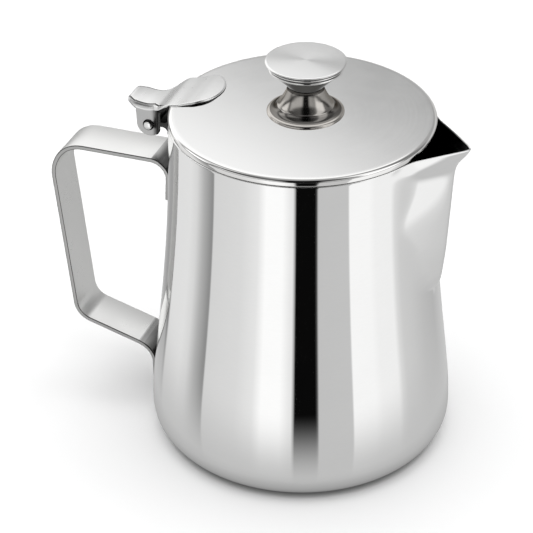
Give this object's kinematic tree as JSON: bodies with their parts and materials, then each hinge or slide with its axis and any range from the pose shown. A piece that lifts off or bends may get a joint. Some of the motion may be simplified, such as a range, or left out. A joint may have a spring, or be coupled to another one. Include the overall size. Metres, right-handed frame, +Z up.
{
  "type": "teapot",
  "caption": "Stainless steel teapot with a wide low belly, pressed pouring spout, bent strap handle and hinged lid with a turned knob.",
  "frame": {"origin": "middle of the flat base, on the surface that the pot stands on", "axes": "+Z up along the body's axis, +X towards the spout, -X towards the handle, +Y to the left when looking along the spout"},
  "size_m": [0.2046, 0.1464, 0.1967],
  "materials": {
    "mirror_steel": "stainless steel, mirror polished",
    "satin_steel": "stainless steel, fine satin",
    "brushed_steel": "stainless steel, turned face with fine ring brushing",
    "dark_nickel": "polished dark nickel plate, slightly warm",
    "plain_steel": "stainless steel, plain machined"
  },
  "bodies": {
    "pot": {"body_shell": "mirror_steel", "handle_strap": "satin_steel", "hinge_bracket": "plain_steel"},
    "lid": {"lid_plate": "mirror_steel", "lid_skirt": "satin_steel", "hinge_leaf": "satin_steel", "hinge_pin": "mirror_steel", "knob_base": "dark_nickel", "knob_cap": "brushed_steel", "knob_washer": "plain_steel", "knob_nut": "plain_steel", "knob_stud": "plain_steel"}
  },
  "joints": [
    {"name": "lid_hinge", "type": "hinge", "parent": "pot", "child": "lid", "pos_m": [-0.0729, 0, 0.1545], "axis": [0, -1, 0], "range_deg": [0, 110]}
  ]
}
